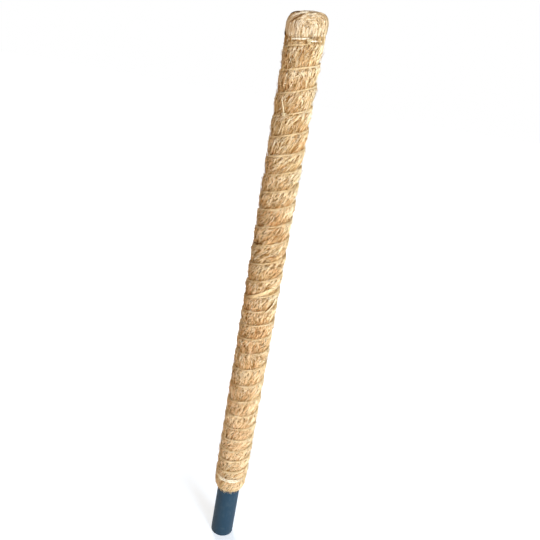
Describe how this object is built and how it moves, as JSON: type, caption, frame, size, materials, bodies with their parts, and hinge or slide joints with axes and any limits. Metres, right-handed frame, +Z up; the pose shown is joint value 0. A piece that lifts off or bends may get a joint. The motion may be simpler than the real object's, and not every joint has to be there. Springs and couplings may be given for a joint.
{
  "type": "moss pole",
  "caption": "Plant support pole: a plastic pipe wrapped in coir fibre bound by a spiral of twine, closed by a tied coir crown, with a bare foot that goes into a pot's soil.",
  "frame": {"origin": "on the pipe's axis at the sawn foot of the pipe", "axes": "+Z up along the pole to the crown; -Y is the side that the picture shows as the front"},
  "size_m": [0.038, 0.0403, 0.6099],
  "materials": {
    "pipe": "satin extruded plastic, lightly scuffed",
    "coir": "combed coir fibre, dry and matt",
    "loose_coir": "loose coir fibre",
    "twine": "pale twisted twine"
  },
  "bodies": {
    "root": {"core_pipe": "pipe", "crown_wad": "loose_coir", "coir_wrap": "coir", "crown_pad": "coir", "binding_twine_upper": "twine", "binding_twine_lower": "twine", "joining_knot": "twine", "neck_tie": "twine", "neck_knot": "twine", "foot_tie": "twine", "foot_knot": "twine"}
  },
  "joints": []
}
